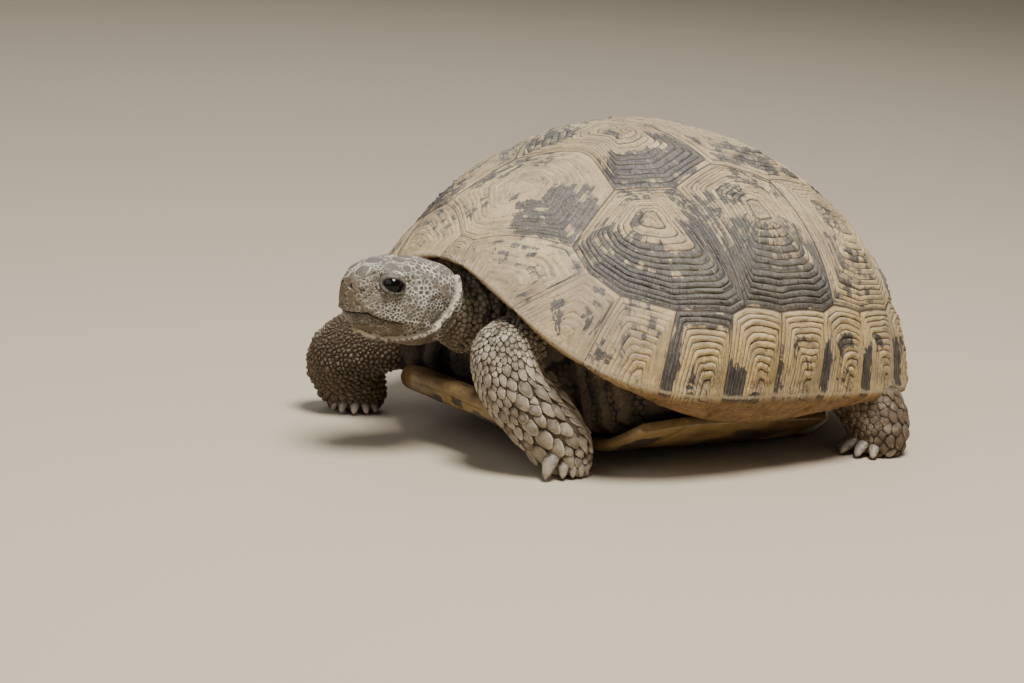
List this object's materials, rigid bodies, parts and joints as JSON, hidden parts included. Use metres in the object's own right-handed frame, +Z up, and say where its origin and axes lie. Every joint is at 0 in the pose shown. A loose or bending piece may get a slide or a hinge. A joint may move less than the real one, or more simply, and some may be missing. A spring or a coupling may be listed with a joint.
{
  "type": "tortoise",
  "caption": "Life-size still model of a spur-thighed tortoise standing with its head out, domed ringed shell, scaly forelegs and clawed feet.",
  "frame": {"origin": "on the floor, at the middle of the rectangle that the whole animal covers", "axes": "+Z up, -Y ahead past the snout, +X the animal's left"},
  "size_m": [0.1326, 0.1878, 0.0901],
  "materials": {
    "carapace_horn": "dusty matt horn, ridged with growth rings",
    "plastron_horn": "worn, slightly polished horn",
    "skin": "dry, dusty, scaled and folded skin",
    "claw": "worn satin horn",
    "eye": "wet gloss"
  },
  "bodies": {
    "root": {"vertebral_1": "carapace_horn", "vertebral_2": "carapace_horn", "vertebral_3": "carapace_horn", "vertebral_4": "carapace_horn", "vertebral_5": "carapace_horn", "nuchal": "carapace_horn", "supracaudal": "carapace_horn", "costal_left_1": "carapace_horn", "costal_left_2": "carapace_horn", "costal_left_3": "carapace_horn", "costal_left_4": "carapace_horn", "marginal_left_1": "carapace_horn", "marginal_left_2": "carapace_horn", "marginal_left_3": "carapace_horn", "marginal_left_4": "carapace_horn", "marginal_left_5": "carapace_horn", "marginal_left_6": "carapace_horn", "marginal_left_7": "carapace_horn", "marginal_left_8": "carapace_horn", "marginal_left_9": "carapace_horn", "marginal_left_10": "carapace_horn", "marginal_left_11": "carapace_horn", "gular_left": "plastron_horn", "humeral_left": "plastron_horn", "pectoral_left": "plastron_horn", "abdominal_left": "plastron_horn", "femoral_left": "plastron_horn", "anal_left": "plastron_horn", "costal_right_1": "carapace_horn", "costal_right_2": "carapace_horn", "costal_right_3": "carapace_horn", "costal_right_4": "carapace_horn", "marginal_right_1": "carapace_horn", "marginal_right_2": "carapace_horn", "marginal_right_3": "carapace_horn", "marginal_right_4": "carapace_horn", "marginal_right_5": "carapace_horn", "marginal_right_6": "carapace_horn", "marginal_right_7": "carapace_horn", "marginal_right_8": "carapace_horn", "marginal_right_9": "carapace_horn", "marginal_right_10": "carapace_horn", "marginal_right_11": "carapace_horn", "gular_right": "plastron_horn", "humeral_right": "plastron_horn", "pectoral_right": "plastron_horn", "abdominal_right": "plastron_horn", "femoral_right": "plastron_horn", "anal_right": "plastron_horn", "trunk": "skin", "head": "skin", "neck": "skin", "tail": "skin", "fore_leg_left": "skin", "fore_leg_right": "skin", "hind_leg_left": "skin", "hind_leg_right": "skin", "eye_left": "eye", "eye_right": "eye"}
  },
  "joints": []
}
